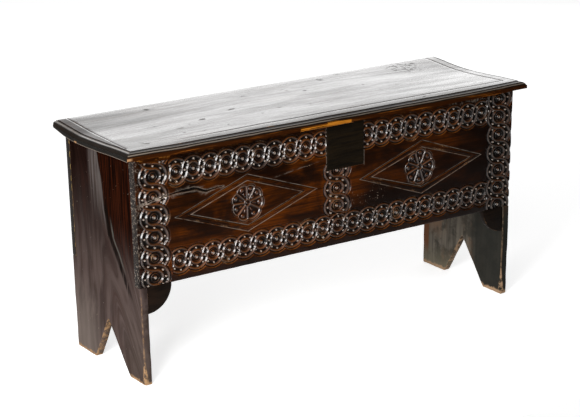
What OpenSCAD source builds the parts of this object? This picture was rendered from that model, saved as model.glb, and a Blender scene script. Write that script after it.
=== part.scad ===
// Six-plank coffer in oak: two end planks that run down to form the feet, a carved front,
// a back, a bottom and a lid hung on two pairs of linked wire loops.
// Millimetres. Origin on the floor under the middle of the lid, front towards -Y, +Z up.

/* [Carcase] */
// Width of the carcase over its end planks, at the top
carcase_w = 1000; // [800:10:1200]
// Depth from the face of the front plank to the face of the back plank
carcase_d = 294; // [240:2:400]
// Height from the floor to the underside of the lid
carcase_h = 496; // [420:2:600]
// How far each end leans in at the floor
end_lean = 9; // [0:1:16]

/* [Planks] */
// Thickness of the end planks
end_t = 17; // [14:1:26]
// Thickness of the front plank
front_t = 22; // [18:1:28]
// Height of the front plank
front_h = 280; // [240:2:330]
// Thickness of the back plank
back_t = 17; // [14:1:26]
// Height of the back plank
back_h = 284; // [240:2:330]
// Thickness of the bottom plank
bottom_t = 16; // [12:1:24]
// Height of the bottom plank above the lower edge of the front plank
bottom_rise = 10; // [4:1:30]
// Depth of the grooves in the ends that hold the bottom plank
bottom_groove = 5; // [2:1:8]

/* [Feet] */
// Width of each front foot at the floor
front_foot_w = 64; // [50:1:80]
// Width of each back foot at the floor
back_foot_w = 82; // [50:1:95]
// Height of the V cut between the feet
v_h = 106; // [70:1:150]
// Distance from the front face back to the top of the V cut
v_top_y = 147; // [110:1:170]

/* [Lid] */
// Thickness of the lid
lid_t = 17; // [14:1:24]
// Overhang of the lid past each end
lid_over_end = 25; // [15:1:40]
// Overhang of the lid past the front
lid_over_front = 19; // [14:1:30]
// Overhang of the lid past the back
lid_over_back = 17; // [16:1:30]
// Width of the rounded edge moulding
ovolo_w = 15; // [8:1:20]
// Drop of the rounded edge moulding
ovolo_drop = 9; // [5:1:12]
// Width of the groove that sets the moulding off
quirk_w = 3; // [1:0.5:5]
// Depth of that groove
quirk_depth = 2.5; // [1:0.5:4]
// Distance from that groove to the fine line scratched inside it
line_inset = 7; // [4:1:14]
// Width and depth of the fine scratched line
line_w = 1.2; // [0.8:0.2:2]

/* [Brackets] */
// Radius of the quarter-round brackets under the front plank
bracket_r = 59; // [40:1:80]
// Thickness of the brackets
bracket_t = 15; // [10:1:18]
// How far the brackets are set back from the front face
bracket_set = 2; // [0:0.5:4]

/* [Lock patch] */
// Width of the patch let in where a lock was
patch_w = 99; // [70:1:130]
// Height of the patch, from the top edge of the front plank
patch_h = 108; // [80:1:120]
// Thickness of the patch
patch_t = 8; // [4:1:12]
// Offset of the patch from the middle of the front
patch_x = 25.5; // [-40:0.5:40]
// Length of the slip of paler wood let into the top edge
slip_l = 140; // [80:1:200]
// Height of that slip
slip_h = 10; // [6:1:16]
// Thickness of that slip
slip_t = 6; // [3:1:10]
// Offset of that slip from the middle of the front
slip_x = -23; // [-60:1:20]

/* [Hinges] */
// Radius of the wire of the hinge loops
wire_r = 2; // [1.5:0.1:2.2]
// Radius of each loop, to the middle of the wire
loop_r = 4.5; // [4.4:0.1:5]
// Distance of each hinge from the middle of the coffer
hinge_x = 330; // [200:5:360]
// Length of the legs bent over inside the back plank
clench_l = 16; // [8:1:24]
// Length of the loop's shank in the lid
lid_shank_l = 12; // [8:1:13]

/* [Nails] */
// Radius of a nail's shank
nail_r = 1.6; // [1.2:0.1:2.2]
// Length of a nail
nail_l = 48; // [36:1:60]
// Radius of a nail's head
head_r = 3.6; // [2.8:0.1:4.5]
// Thickness of a nail's head
head_t = 1.6; // [1:0.1:2.5]
// How far the front nails are punched in, below the carving
nail_punch = 4.5; // [3:0.5:6]
// Nails up each end of the front and the back
end_nails = 4; // [2:1:6]
// Nails along each long edge of the bottom
edge_nails = 5; // [3:1:8]

/* [Carving] */
// Half width of the incised lozenges
lozenge_w = 170; // [120:1:176]
// Half height of the incised lozenges
lozenge_h = 60; // [40:1:64]
// Width of an incised line
incised_w = 2.4; // [1:0.2:4]
// Depth of the incised lines
incised_depth = 1.6; // [0.8:0.2:3]
// Distance between the two lines of a lozenge, across a flank
lozenge_gap = 9; // [5:0.5:14]
// Radius of the rosettes
rosette_r = 40; // [28:1:44]
// Depth of the hollow petals
rosette_depth = 3; // [2:0.5:5]
// Number of petals
petals = 8; // [6:1:10]
// Width of the ribs between the petals
rib_w = 2.2; // [1.4:0.2:3]
// Distance of each rosette from the middle of the front
rosette_x = 232; // [200:1:260]
// Height of the rosettes above the lower edge of the front plank
rosette_z = 138; // [130:1:146]
// Depth of the nicks between the tips of the petals
nick_depth = 2; // [1:0.5:3]

/* [Interlaced bands] */
// Distance of the top band's middle below the upper edge of the front plank
top_band_drop = 45; // [42:0.5:50]
// Distance of the bottom band's middle above the lower edge of the front plank
bottom_band_rise = 41; // [38:0.5:46]
// Number of bosses along the top and the bottom band
band_bosses = 21; // [20:1:22]
// Distance of the outer upright bands from the middle of the front
stile_x = 456.5; // [452:0.5:457]
// Spacing of the bosses up an upright band
stile_pitch = 42.6; // [41:0.2:45]
// Number of bosses up the left band
left_bosses = 6; // [4:1:6]
// Distance of the left band's highest boss below the upper edge
left_band_drop = 46; // [40:1:60]
// Number of bosses up the right band
right_bosses = 7; // [4:1:7]
// Distance of the right band's highest boss below the upper edge
right_band_drop = 20; // [16:1:60]
// Number of bosses up the middle band, of which the lock patch covers a part
mid_bosses = 3; // [2:1:3]
// Offset of the middle band from the middle of the front
mid_band_x = 3.5; // [-20:0.5:20]
// Distance of the middle band's lowest boss above the lower edge
mid_band_rise = 88; // [80:1:100]
// Half the straight length of a strand between two bosses, in the middle band
mid_stretch = 9; // [6:0.5:10]
// Half width of the strands
strand_half_w = 7; // [6:0.1:7.6]
// Width of a strand's raised edges
strand_edge = 2.2; // [1.6:0.1:2.8]
// Half the straight length of a strand between two bosses, in the bands along the plank
band_stretch = 2.5; // [1:0.5:4]
// The same in the outer upright bands
stile_stretch = 6; // [4:0.5:6.5]
// Radius of a boss
boss_r = 4; // [3:0.1:5]
// Inner radius of the ring around a boss
ring_in = 7; // [6.2:0.1:7.6]
// Outer radius of that ring
ring_out = 9.8; // [9:0.1:10.4]
// Radius of the pearls along the strands
pearl_r = 2; // [1.2:0.1:2.4]
// Depth of the ground between the strands
ground_depth = 3.5; // [2.5:0.5:5]
// Depth of the hollow along a strand
hollow_depth = 2; // [1:0.5:2.5]
// Width of the groove that follows the outer arches
outline_w = 2; // [1:0.5:3]

/* [Hidden] */
tiny = 0.01;
beyond = 5;
lid_w = carcase_w + 2 * lid_over_end;
lid_d = carcase_d + lid_over_front + lid_over_back;
front_y = -lid_d / 2 + lid_over_front;
back_y = front_y + carcase_d;
lid_back_y = lid_d / 2;
lid_front_y = -lid_d / 2;
lid_top = carcase_h + lid_t;
lean_angle = atan(end_lean / carcase_h);
front_z = carcase_h - front_h;
back_z = carcase_h - back_h;
bottom_z = front_z + bottom_rise;
inside_front_y = front_y + front_t;
inside_back_y = back_y - back_t;
rosette_height = front_z + rosette_z;
petal_x = rosette_r * 0.7;
petal_r = petal_x * sin(180 / petals) - rib_w / 2;
petal_base = rosette_r * 0.22;
eye_r = rosette_r * 0.16;
eye_dot_r = eye_r * 0.5;
tip_bead_r = petal_r * 0.3;
base_bead_r = petal_r * 0.17;
stile_half_w = stile_pitch / 2 + strand_half_w + stile_stretch + outline_w;
band_half_l = stile_x - stile_half_w;
band_pitch = 2 * band_half_l / band_bosses;
top_band_z = carcase_h - top_band_drop;
bottom_band_z = front_z + bottom_band_rise;
pearl_angles = [82, 112, 142];
hinge_y = back_y + loop_r + wire_r + 0.2;
hinge_z = carcase_h - 2 * loop_r - wire_r - 0.2;
shank_play = 0.05;
shank_end_play = 0.2;
clench_r = wire_r * 0.7;

// Half width of the carcase over its outer faces at height z
function outer_x(z) = carcase_w / 2 - (carcase_h - z) * tan(lean_angle);
// Half width between the inner faces of the ends at height z
function inner_x(z) = outer_x(z) - end_t / cos(lean_angle);
bottom_half_l = inner_x(bottom_z + bottom_t / 2) + bottom_groove;
// Heights of the nails up an end, for a plank that stands on z0
function end_nail_zs(z0) = [for (i = [0:end_nails - 1]) z0 + (carcase_h - z0) * (i + 0.5) / end_nails];
// Places of the nails along the bottom
bottom_nail_xs = [for (i = [0:edge_nails - 1]) (2 * (i + 0.5) / edge_nails - 1) * (bottom_half_l - 30)];

// One nail along -Z, its head flush at z = 0
module nail(l = nail_l) {
    translate([0, 0, -head_t]) cylinder(r = head_r, h = head_t, $fn = 32);
    translate([0, 0, -l]) cylinder(r = nail_r, h = l - head_t / 2, $fn = 24);
}

// Nails driven into the front face, below its surface, or into the back face
module nail_from_front(x, z) { translate([x, front_y + nail_punch, z]) rotate([90, 0, 0]) nail(); }
module nail_from_back(x, z) { translate([x, back_y, z]) rotate([-90, 0, 0]) nail(); }

module front_nail_set() {
    for (s = [-1, 1], z = end_nail_zs(front_z)) nail_from_front(s * (outer_x(z) - end_t / 2), z);
}

// Holes left above the punched nails
module punched_holes() {
    for (s = [-1, 1], z = end_nail_zs(front_z)) punched_hole(s * (outer_x(z) - end_t / 2), z);
    for (x = bottom_nail_xs) punched_hole(x, bottom_z + bottom_t / 2);
}

module punched_hole(x, z) {
    translate([x, front_y + nail_punch, z]) rotate([90, 0, 0])
        cylinder(r = head_r, h = nail_punch + tiny, $fn = 32);
}

module back_nail_set() {
    for (s = [-1, 1], z = end_nail_zs(back_z)) nail_from_back(s * (outer_x(z) - end_t / 2), z);
}

module bottom_front_nail_set() {
    for (x = bottom_nail_xs) nail_from_front(x, bottom_z + bottom_t / 2);
}

module bottom_back_nail_set() {
    for (x = bottom_nail_xs) nail_from_back(x, bottom_z + bottom_t / 2);
}

// One nail up into the front plank and one sideways into the foot, near the bracket's tips
module bracket_nail_set() {
    reach = bracket_r * 0.75;
    edge = sqrt(pow(bracket_r, 2) - pow(reach, 2));
    mid_y = front_y + bracket_set + bracket_t / 2;
    corner = -inner_x(front_z);
    translate([corner + reach, mid_y, front_z - edge + 1]) rotate([180, 0, 0]) nail();
    translate([corner + edge - 1, mid_y, front_z - reach]) rotate([0, 90, 0]) nail();
}

// Trapezoid plank across the coffer, its ends flush with the leaning end planks
module leaning_plank(z0, z1, y0, t) {
    translate([0, y0 + t, 0]) rotate([90, 0, 0]) linear_extrude(t)
        polygon([[-outer_x(z0), z0], [outer_x(z0), z0], [outer_x(z1), z1], [-outer_x(z1), z1]]);
}

module bottom_blank() {
    translate([-bottom_half_l, inside_front_y, bottom_z])
        cube([2 * bottom_half_l, inside_back_y - inside_front_y, bottom_t]);
}

// Wedge cut out of an end plank to leave two feet
module v_cut() {
    translate([-carcase_w, 0, 0]) rotate([90, 0, 90]) linear_extrude(2 * carcase_w)
        polygon([[front_y + front_foot_w, 0], [front_y + v_top_y, v_h], [back_y - back_foot_w, 0],
                 [back_y - back_foot_w, -beyond], [front_y + front_foot_w, -beyond]]);
}

// Left end plank, leaning in towards the floor, notched for the front and the back
module end_blank() {
    difference() {
        intersection() {
            translate([-carcase_w / 2, front_y, carcase_h]) rotate([0, -lean_angle, 0])
                translate([0, 0, -2 * carcase_h]) cube([end_t, carcase_d, 3 * carcase_h]);
            translate([-carcase_w, front_y - beyond, 0])
                cube([carcase_w, carcase_d + 2 * beyond, carcase_h]);
        }
        translate([-carcase_w, front_y - beyond, front_z])
            cube([carcase_w, front_t + beyond, front_h + beyond]);
        translate([-carcase_w, inside_back_y, back_z])
            cube([carcase_w, back_t + beyond, back_h + beyond]);
        v_cut();
        bottom_blank();
    }
}

// Boxes of the two repairs let into the front
module patch_box() {
    translate([patch_x - patch_w / 2, front_y - tiny, carcase_h - patch_h])
        cube([patch_w, patch_t + tiny, patch_h + tiny]);
}

module slip_box() {
    translate([slip_x - slip_l / 2, front_y - tiny, carcase_h - slip_h])
        cube([slip_l, slip_t + tiny, slip_h + tiny]);
}

module diamond(w, h) { polygon([[-w, 0], [0, -h], [w, 0], [0, h]]); }

// Incised line along a diamond, w and h to its outer edge
module diamond_line(w, h) {
    steep = sqrt(w * w + h * h);
    difference() {
        diamond(w, h);
        diamond(w - incised_w * steep / h, h - incised_w * steep / w);
    }
}

module lozenge() {
    steep = sqrt(lozenge_w * lozenge_w + lozenge_h * lozenge_h);
    diamond_line(lozenge_w, lozenge_h);
    diamond_line(lozenge_w - lozenge_gap * steep / lozenge_h, lozenge_h - lozenge_gap * steep / lozenge_w);
}

// Hollow of a petal along +X: a drop with a bead left standing near its tip and one near its base
module petal_hollow() {
    difference() {
        union() {
            translate([petal_x, 0]) circle(r = petal_r, $fn = 64);
            polygon([[petal_base, 0], [petal_x, -petal_r], [petal_x, petal_r]]);
        }
        translate([petal_x + petal_r - 2 * tip_bead_r, 0]) circle(r = tip_bead_r, $fn = 32);
        translate([petal_x - 1.2 * petal_r, 0]) circle(r = base_bead_r, $fn = 32);
    }
}

// What is cut out of a rosette: the petals and a groove around its eye
module rosette_hollows() {
    for (i = [0:petals - 1]) rotate((i + 0.5) * 360 / petals) petal_hollow();
    difference() {
        circle(r = eye_r, $fn = 48);
        circle(r = eye_dot_r, $fn = 32);
    }
}

// Nicks that leave the rosette's edge scalloped
module rosette_nicks() {
    difference() {
        circle(r = rosette_r, $fn = 96);
        circle(r = petal_x, $fn = 96);
        for (i = [0:petals - 1]) rotate((i + 0.5) * 360 / petals)
            translate([petal_x, 0]) circle(r = petal_r + rib_w, $fn = 64);
    }
}

// Round-ended shape: two discs of radius r, s above and below the middle, joined
module round_ended(r, s) {
    for (v = [-s, s]) translate([0, v]) circle(r = r, $fn = 96);
    translate([-r, -s]) square([2 * r, 2 * s]);
}

// Hollow of a strand over a boss, as far as the next strand that lies on it, for bosses p apart
module strand_hollow(p, s) {
    outer = p / 2 + strand_half_w;
    inner = p / 2 - strand_half_w;
    difference() {
        intersection() {
            round_ended(outer - strand_edge, s);
            translate([-p, 0]) square([2 * p, p + s]);
        }
        round_ended(inner + strand_edge, s);
        translate([p, 0]) round_ended(outer, s);
        for (a = pearl_angles) translate([p / 2 * cos(a), s + p / 2 * sin(a)]) circle(r = pearl_r, $fn = 24);
        translate([-p / 2, s / 2 - tiny]) circle(r = pearl_r, $fn = 24);
    }
}

// All the strand hollows of a band of n bosses along +X, cut off square at its ends
module strand_hollows(n, p, s) {
    reach = p / 2 + strand_half_w + s;
    intersection() {
        translate([-p / 2, -reach]) square([n * p, 2 * reach]);
        for (i = [-1:n], half_turn = [0, 180]) translate([i * p, 0]) rotate(half_turn) strand_hollow(p, s);
    }
}

// The deep ground of such a band: outside the strands, inside them and between each boss and its ring
module band_ground(n, p, s) {
    outer = p / 2 + strand_half_w;
    half_w = outer + s + outline_w;
    difference() {
        intersection() {
            translate([-p / 2, -half_w]) square([n * p, 2 * half_w]);
            for (i = [-1:n]) translate([i * p, 0]) round_ended(outer + outline_w, s);
        }
        for (i = [-1:n]) translate([i * p, 0]) round_ended(outer, s);
    }
    for (i = [0:n - 1]) translate([i * p, 0]) {
        difference() {
            round_ended(p / 2 - strand_half_w, s);
            circle(r = ring_out, $fn = 64);
        }
        difference() {
            circle(r = ring_in, $fn = 64);
            circle(r = boss_r, $fn = 48);
        }
    }
}

// Puts a flat drawing on the front face at (x, z), sunk to a depth
module on_front(x, z, depth) {
    translate([x, front_y + depth, z]) rotate([90, 0, 0]) linear_extrude(depth + tiny) children();
}

// Band of n bosses p apart, its first boss at (x, z), running at an angle on the front face
module interlaced_band(n, p, s, x, z, angle = 0) {
    on_front(x, z, ground_depth) rotate(angle) band_ground(n, p, s);
    on_front(x, z, hollow_depth) rotate(angle) strand_hollows(n, p, s);
}

module front_carving() {
    for (s = [-1, 1]) {
        on_front(s * rosette_x, rosette_height, incised_depth) lozenge();
        on_front(s * rosette_x, rosette_height, rosette_depth) rosette_hollows();
        on_front(s * rosette_x, rosette_height, nick_depth) rosette_nicks();
    }
    for (z = [top_band_z, bottom_band_z])
        interlaced_band(band_bosses, band_pitch, band_stretch, band_pitch / 2 - band_half_l, z);
    interlaced_band(left_bosses, stile_pitch, stile_stretch, -stile_x, carcase_h - left_band_drop, -90);
    interlaced_band(right_bosses, stile_pitch, stile_stretch, stile_x, carcase_h - right_band_drop, -90);
    interlaced_band(mid_bosses, stile_pitch, mid_stretch, mid_band_x, front_z + mid_band_rise, 90);
}

// Loop of wire fixed in the back plank: eye, shank and two legs bent over inside
module back_loop(x) {
    shank_l = hinge_y - loop_r - inside_back_y + clench_r;
    translate([x, hinge_y, hinge_z]) {
        rotate([0, 90, 0]) rotate_extrude($fn = 48) translate([loop_r, 0]) circle(r = wire_r, $fn = 24);
        translate([0, -loop_r, 0]) rotate([90, 0, 0]) cylinder(r = wire_r, h = shank_l, $fn = 24);
    }
    translate([x, inside_back_y - clench_r, hinge_z]) rotate([0, 90, 0])
        cylinder(r = clench_r, h = 2 * clench_l, center = true, $fn = 24);
}

// Loop of wire fixed in the lid, linked through the first
module lid_loop(x) {
    translate([x, hinge_y, hinge_z + loop_r]) {
        rotate([90, 0, 0]) rotate_extrude($fn = 48) translate([loop_r, 0]) circle(r = wire_r, $fn = 24);
        translate([0, 0, loop_r]) cylinder(r = wire_r, h = lid_shank_l + wire_r, $fn = 24);
    }
}

module back_shank_hole(x) {
    translate([x, back_y + beyond, hinge_z]) rotate([90, 0, 0])
        cylinder(r = wire_r + shank_play, h = back_t + 2 * beyond, $fn = 24);
}

module lid_shank_hole(x) {
    top = hinge_z + 2 * loop_r + wire_r + lid_shank_l + shank_end_play;
    translate([x, hinge_y, carcase_h - beyond])
        cylinder(r = wire_r + shank_play, h = top - carcase_h + beyond, $fn = 24);
}

// Quarter ellipse of the moulding as a flat outline: what is cut from a square edge
module ovolo_waste() {
    difference() {
        translate([-beyond, 0]) square([ovolo_w + beyond, ovolo_drop + beyond]);
        intersection() {
            square([ovolo_w, ovolo_drop]);
            translate([ovolo_w, 0]) circle(r = ovolo_w, $fn = 96);
            translate([ovolo_w, ovolo_drop - ovolo_w]) circle(r = ovolo_w, $fn = 96);
        }
    }
}

// Moulding waste along the front and along the left end
module front_waste() {
    translate([-lid_w, lid_front_y, lid_top - ovolo_drop]) rotate([90, 0, 90])
        linear_extrude(2 * lid_w) ovolo_waste();
}

module end_waste() {
    translate([-lid_w / 2, lid_back_y + beyond, lid_top - ovolo_drop]) rotate([90, 0, 0])
        linear_extrude(lid_d + 2 * beyond) ovolo_waste();
}

// Groove w wide and d deep at an inset from the edge, along the front and both ends
module lid_groove(inset, w, d) {
    z = lid_top - d;
    for (s = [-1, 1])
        translate([s * (lid_w / 2 - inset - w / 2) - w / 2, lid_front_y + inset, z])
            cube([w, lid_d - inset + beyond, d + beyond]);
    translate([-lid_w / 2 + inset, lid_front_y + inset, z]) cube([lid_w - 2 * inset, w, d + beyond]);
}

module lid_board() {
    color("#4a3a2e") difference() {
        translate([-lid_w / 2, lid_front_y, carcase_h]) cube([lid_w, lid_d, lid_t]);
        front_waste();
        end_waste();
        mirror([1, 0, 0]) end_waste();
        lid_groove(ovolo_w, quirk_w, quirk_depth);
        lid_groove(ovolo_w + quirk_w + line_inset, line_w, line_w);
        for (s = [-1, 1]) lid_shank_hole(s * hinge_x);
    }
}

module front_board() {
    color("#3a2013") difference() {
        leaning_plank(front_z, carcase_h, front_y, front_t);
        patch_box();
        slip_box();
        front_carving();
        front_nail_set();
        bottom_front_nail_set();
        punched_holes();
        for (s = [0, 1]) mirror([s, 0, 0]) bracket_nail_set();
    }
}

module back_board() {
    color("#33241b") difference() {
        leaning_plank(back_z, carcase_h, inside_back_y, back_t);
        for (s = [-1, 1]) back_shank_hole(s * hinge_x);
        back_nail_set();
        bottom_back_nail_set();
    }
}

module end_board() {
    difference() {
        end_blank();
        front_nail_set();
        back_nail_set();
        bracket_nail_set();
    }
}

module left_end_board() { color("#4b3d36") end_board(); }

module right_end_board() { color("#4b3d36") mirror([1, 0, 0]) end_board(); }

module bottom_board() {
    color("#54402f") difference() {
        bottom_blank();
        bottom_front_nail_set();
        bottom_back_nail_set();
    }
}

// Quarter disc in the corner of a foot and the front plank
module bracket() {
    x0 = -inner_x(front_z);
    difference() {
        intersection() {
            translate([x0, front_y + bracket_set + bracket_t, front_z]) rotate([90, 0, 0])
                cylinder(r = bracket_r, h = bracket_t, $fn = 96);
            translate([-outer_x(front_z), front_y, front_z - 2 * bracket_r])
                cube([outer_x(front_z), front_t, 2 * bracket_r]);
        }
        translate([-carcase_w / 2, front_y - beyond, carcase_h]) rotate([0, -lean_angle, 0])
            translate([-carcase_w, 0, -2 * carcase_h]) cube([carcase_w + end_t, carcase_d, 3 * carcase_h]);
        bracket_nail_set();
    }
}

module left_front_bracket() { color("#2c1a12") bracket(); }

module right_front_bracket() { color("#2c1a12") mirror([1, 0, 0]) bracket(); }

module lock_patch() {
    color("#241a15") difference() {
        translate([patch_x - patch_w / 2, front_y, carcase_h - patch_h]) cube([patch_w, patch_t, patch_h]);
        slip_box();
    }
}

module rim_slip() {
    color("#8a5a2a") translate([slip_x - slip_l / 2, front_y, carcase_h - slip_h])
        cube([slip_l, slip_t, slip_h]);
}

module left_back_loop() { color("#2b2a29") back_loop(-hinge_x); }

module right_back_loop() { color("#2b2a29") back_loop(hinge_x); }

module left_lid_loop() { color("#2b2a29") lid_loop(-hinge_x); }

module right_lid_loop() { color("#2b2a29") lid_loop(hinge_x); }

module front_board_nails() { color("#2b2a29") front_nail_set(); }

module back_board_nails() { color("#2b2a29") back_nail_set(); }

module bottom_front_nails() { color("#2b2a29") bottom_front_nail_set(); }

module bottom_back_nails() { color("#2b2a29") bottom_back_nail_set(); }

module left_bracket_nails() { color("#2b2a29") bracket_nail_set(); }

module right_bracket_nails() { color("#2b2a29") mirror([1, 0, 0]) bracket_nail_set(); }

lid_board();
front_board();
back_board();
left_end_board();
right_end_board();
bottom_board();
left_front_bracket();
right_front_bracket();
lock_patch();
rim_slip();
left_back_loop();
right_back_loop();
left_lid_loop();
right_lid_loop();
front_board_nails();
back_board_nails();
bottom_front_nails();
bottom_back_nails();
left_bracket_nails();
right_bracket_nails();
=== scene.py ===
import bpy
import math
import numpy as np
from mathutils import Matrix, Vector


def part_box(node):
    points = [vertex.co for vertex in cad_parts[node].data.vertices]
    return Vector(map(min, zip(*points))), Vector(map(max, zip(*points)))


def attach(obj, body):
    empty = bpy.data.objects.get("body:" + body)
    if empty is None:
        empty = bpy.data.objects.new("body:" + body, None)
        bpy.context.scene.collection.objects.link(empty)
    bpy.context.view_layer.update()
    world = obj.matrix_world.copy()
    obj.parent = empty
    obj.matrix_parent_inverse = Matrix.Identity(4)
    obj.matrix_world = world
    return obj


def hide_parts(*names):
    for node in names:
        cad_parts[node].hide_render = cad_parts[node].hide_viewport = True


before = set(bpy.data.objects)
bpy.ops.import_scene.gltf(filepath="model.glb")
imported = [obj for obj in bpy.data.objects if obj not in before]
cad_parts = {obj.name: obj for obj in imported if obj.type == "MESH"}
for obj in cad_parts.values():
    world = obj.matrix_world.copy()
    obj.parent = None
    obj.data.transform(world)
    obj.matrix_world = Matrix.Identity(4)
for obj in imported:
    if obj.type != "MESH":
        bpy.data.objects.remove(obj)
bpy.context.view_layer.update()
mm = 0.001
print("frame loaded:", len(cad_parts), "nodes")

# Where the photographer stood
shot = {
    "place": (-2.3158, -3.3878, 1.5358),
    "turn": 34.093,   # degrees from the back towards the right
    "tilt": -17.232,
    "roll": -0.648,
    "lens": 118.73,
}


def makeCamera():
    bpy.ops.object.camera_add(location=shot["place"])
    camera = bpy.context.active_object
    turned = (Matrix.Rotation(-math.radians(shot["turn"]), 4, "Z")
              @ Matrix.Rotation(math.radians(90 + shot["tilt"]), 4, "X")
              @ Matrix.Rotation(math.radians(shot["roll"]), 4, "Z"))
    camera.rotation_euler = turned.to_euler()
    camera.data.lens = shot["lens"]
    camera.data.sensor_width = 36
    bpy.context.scene.camera = camera


makeCamera()
print("camera set")


# Helpers for meshes

def selectOnly(piece):
    bpy.ops.object.select_all(action="DESELECT")
    piece.select_set(True)
    bpy.context.view_layer.objects.active = piece


def settle(piece):   # the place, turn and size go into the mesh
    selectOnly(piece)
    bpy.ops.object.transform_apply(location=True, rotation=True, scale=True)


def named(name):
    piece = bpy.context.active_object
    piece.name = piece.data.name = name
    return piece


def block(name, low, high):
    low, high = Vector(low), Vector(high)
    bpy.ops.mesh.primitive_cube_add(size=1, location=(low + high) / 2)
    piece = named(name)
    piece.scale = high - low
    settle(piece)
    return piece


def addGrid(name, across, up):   # from -0.5 to 0.5
    bpy.ops.mesh.primitive_grid_add(x_subdivisions=across, y_subdivisions=up, size=1)
    return named(name)


def startEdit(piece):   # opens the mesh with all of it selected
    selectOnly(piece)
    bpy.ops.object.mode_set(mode="EDIT")
    bpy.ops.mesh.select_all(action="SELECT")


def endEdit():
    bpy.ops.object.mode_set(mode="OBJECT")


def faceOutward():   # the active mesh
    bpy.ops.object.mode_set(mode="EDIT")
    bpy.ops.mesh.select_all(action="SELECT")
    bpy.ops.mesh.normals_make_consistent(inside=False)
    endEdit()


def shape(piece, kind, **settings):   # adds a modifier and applies it
    selectOnly(piece)
    modifier = piece.modifiers.new(kind.lower(), kind)
    for key, value in settings.items():
        setattr(modifier, key, value)
    bpy.ops.object.modifier_apply(modifier=modifier.name)


def bevel(piece, width, segments=2, angle=30):   # millimetres and degrees
    shape(piece, "BEVEL", width=width * mm, segments=segments, limit_method="ANGLE",
          angle_limit=math.radians(angle))


def cutAway(piece, cutter):
    shape(piece, "BOOLEAN", object=cutter, operation="DIFFERENCE", solver="MANIFOLD")
    bpy.data.objects.remove(cutter)


def addCuts(piece, axis, low, high, step):   # new rows of points across the whole piece
    normal = Vector((0, 0, 0))
    normal[axis] = 1
    startEdit(piece)
    for place in np.arange(low, high, step):
        bpy.ops.mesh.select_all(action="SELECT")
        bpy.ops.mesh.bisect(plane_co=normal * place, plane_no=normal)
    endEdit()


def points(piece):
    co = np.empty(len(piece.data.vertices) * 3)
    piece.data.vertices.foreach_get("co", co)
    return co.reshape(-1, 3)


def movePoints(piece, co):
    piece.data.vertices.foreach_set("co", np.ascontiguousarray(co).ravel())
    piece.data.update()


def markPoints(piece, name, values):   # a number at each point, for a material
    attribute = piece.data.attributes.new(name, "FLOAT", "POINT")
    attribute.data.foreach_set("value", np.asarray(values, np.float32))


def waver(a, b, cell, seed):   # smooth random waves between -1 and 1, a cell wide
    table = np.random.default_rng(seed).uniform(-1, 1, (64, 64))
    u, v = np.asarray(a) / cell + 640, np.asarray(b) / cell + 640
    i, j = np.floor(u).astype(int), np.floor(v).astype(int)
    s, t = u - i, v - j
    s, t = s * s * (3 - 2 * s), t * t * (3 - 2 * t)
    i0, i1, j0, j1 = i % 64, (i + 1) % 64, j % 64, (j + 1) % 64
    near = table[i0, j0] * (1 - s) + table[i1, j0] * s
    far = table[i0, j1] * (1 - s) + table[i1, j1] * s
    return near * (1 - t) + far * t


def smooth(low, high, value):
    t = np.clip((value - low) / (high - low), 0, 1)
    return t * t * (3 - 2 * t)


def smoothLook(piece, angle=40):
    selectOnly(piece)
    bpy.ops.object.shade_smooth_by_angle(angle=math.radians(angle))


def finishPiece(piece, body, slot, material, *nodes):
    piece.data.materials.clear()
    piece.data.materials.append(material)
    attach(piece, body)
    if nodes:
        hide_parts(*nodes)


# Helpers for materials: a value is a number or a socket, and a socket knows its node tree

def treeOf(*values):
    return next(value.id_data for value in values if isinstance(value, bpy.types.NodeSocket))


def feed(node, inputs):   # sets inputs, or links them to sockets
    for key, value in dict(inputs).items():
        socket = node.inputs[key]
        if isinstance(value, bpy.types.NodeSocket):
            node.id_data.links.new(value, socket)
        else:
            socket.default_value = (*value, 1) if socket.type == "RGBA" else value
    return node


def addNode(tree, kind, inputs=(), **settings):
    made = tree.nodes.new("ShaderNode" + kind)
    for key, value in settings.items():
        setattr(made, key, value)
    return feed(made, inputs)


def maths(operation, *values, clamp=False):   # what a Math node makes of them
    made = addNode(treeOf(*values), "Math", dict(enumerate(values)), operation=operation, use_clamp=clamp)
    return made.outputs[0]


def chained(operation, values):
    result = values[0]
    for value in values[1:]:
        result = maths(operation, result, value)
    return result


def times(*values):
    return chained("MULTIPLY", values)


def most(*values):
    return chained("MAXIMUM", values)


def scaled(value, by, plus, clamp=False):   # value * by + plus
    return maths("MULTIPLY_ADD", value, by, plus, clamp=clamp)


def sizeOf(value):   # without its sign
    return maths("ABSOLUTE", value)


def vectors(operation, *values, **others):
    made = addNode(treeOf(*values), "VectorMath", {**dict(enumerate(values)), **others}, operation=operation)
    return made.outputs["Value" if operation in ("DISTANCE", "LENGTH", "DOT_PRODUCT") else "Vector"]


def axes(vector):   # its X, Y and Z
    return addNode(vector.id_data, "SeparateXYZ", {0: vector}).outputs


def given(coords, kind, output, **settings):   # what a new node in the same tree gives
    return addNode(coords.id_data, kind, **settings).outputs[output]


def marked(coords, name):   # the number that markPoints left
    return given(coords, "Attribute", "Fac", attribute_name=name)


def spread(value, low, high, outLow=0.0, outHigh=1.0):   # maps a range smoothly to another
    ranges = {"Value": value, "From Min": low, "From Max": high, "To Min": outLow, "To Max": outHigh}
    return addNode(value.id_data, "MapRange", ranges, interpolation_type="SMOOTHSTEP").outputs["Result"]


def window(value, low, high, soft):   # 1 between low and high, with soft ends
    return times(spread(value, low - soft, low + soft), spread(value, high + soft, high - soft))


def noiseAt(vector, scale, detail=4.0, rough=0.55, warp=0.0, output="Fac"):
    return addNode(vector.id_data, "TexNoise", {"Vector": vector, "Scale": scale, "Detail": detail,
                                                "Roughness": rough, "Distortion": warp}).outputs[output]


def stretched(vector, axis, along, across, shift=(0, 0, 0)):   # finer across the grain
    scale = [across] * 3
    scale[axis] = along
    placing = {"Vector": vector, "Location": shift, "Scale": scale}
    return addNode(vector.id_data, "Mapping", placing).outputs[0]


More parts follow.
